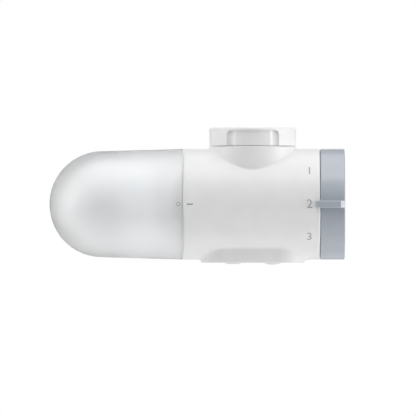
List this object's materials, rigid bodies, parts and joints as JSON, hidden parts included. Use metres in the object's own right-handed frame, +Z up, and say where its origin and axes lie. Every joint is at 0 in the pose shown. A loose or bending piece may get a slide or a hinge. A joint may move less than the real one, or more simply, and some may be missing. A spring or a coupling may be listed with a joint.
{
  "type": "faucet mount water filter",
  "caption": "Small water filter that screws onto a tap spout: round housing with clamping nut, outlets, bayonet cover over a cartridge, and a turning selector.",
  "frame": {"origin": "on the tap's axis, in the plane of the tap adapter's rim", "axes": "+X along the round body towards the selector knob, +Z up along the tap's axis, -Y towards the user"},
  "size_m": [0.1475, 0.0573, 0.0684],
  "materials": {
    "white_abs": "satin-gloss white moulded ABS",
    "inner_moulding": "plain white moulded",
    "outlet_plastic": "matt white moulded",
    "cartridge_white": "plain white moulded",
    "frosted_cover": "frosted translucent plastic",
    "knob_abs": "satin blue-grey moulded ABS",
    "chromed_brass": "bright chromed",
    "stainless": "bright stainless",
    "rubber": "black moulded rubber",
    "silicone": "white moulded silicone",
    "felt": "white needle felt",
    "carbon": "pressed black carbon",
    "membrane": "potted fibre bundle"
  },
  "bodies": {
    "housing": {"housing": "white_abs", "valve_body": "inner_moulding", "inlet_fitting": "white_abs", "inlet_ring": "rubber", "inlet_strainer": "stainless", "adapter_washer": "rubber", "cover_seal": "silicone", "filtered_outlet": "outlet_plastic", "spray_outlet": "outlet_plastic", "outlet_rings": "rubber", "valve_end_plate": "inner_moulding", "end_plate_screws": "stainless", "cartridge_base": "cartridge_white", "cartridge_rings": "rubber", "cartridge_case": "cartridge_white", "prefilter_wrap": "felt", "carbon_block": "carbon", "membrane_core": "membrane", "core_cap": "cartridge_white"},
    "adapter": {"faucet_adapter": "chromed_brass", "tap_washer": "rubber"},
    "nut": {"faucet_nut": "white_abs"},
    "cover": {"filter_cover": "frosted_cover"},
    "selector": {"selector_knob": "knob_abs", "valve_rotor": "inner_moulding", "rotor_rings": "rubber", "knob_screw": "stainless", "knob_cap": "knob_abs"}
  },
  "joints": [
    {"name": "cover_turn", "type": "hinge", "parent": "housing", "child": "cover", "pos_m": [-0.0346, 0, -0.03785], "axis": [-1, 0, 0], "range_deg": [0, 45]},
    {"name": "selector_turn", "type": "hinge", "parent": "housing", "child": "selector", "pos_m": [0.0335, 0, -0.03785], "axis": [1, 0, 0], "range_deg": [-36, 36]},
    {"name": "adapter_lift", "type": "slide", "parent": "housing", "child": "adapter", "axis": [0, 0, 1], "range_m": [0, 0.003]},
    {"name": "nut_turn", "type": "hinge", "parent": "adapter", "child": "nut", "pos_m": [0, 0, 0], "axis": [0, 0, 1], "range_deg": [0, 720]}
  ],
  "couplings": [
    {"joint": "nut_turn", "follows": "adapter_lift", "rad_per_m": 4188.8}
  ]
}
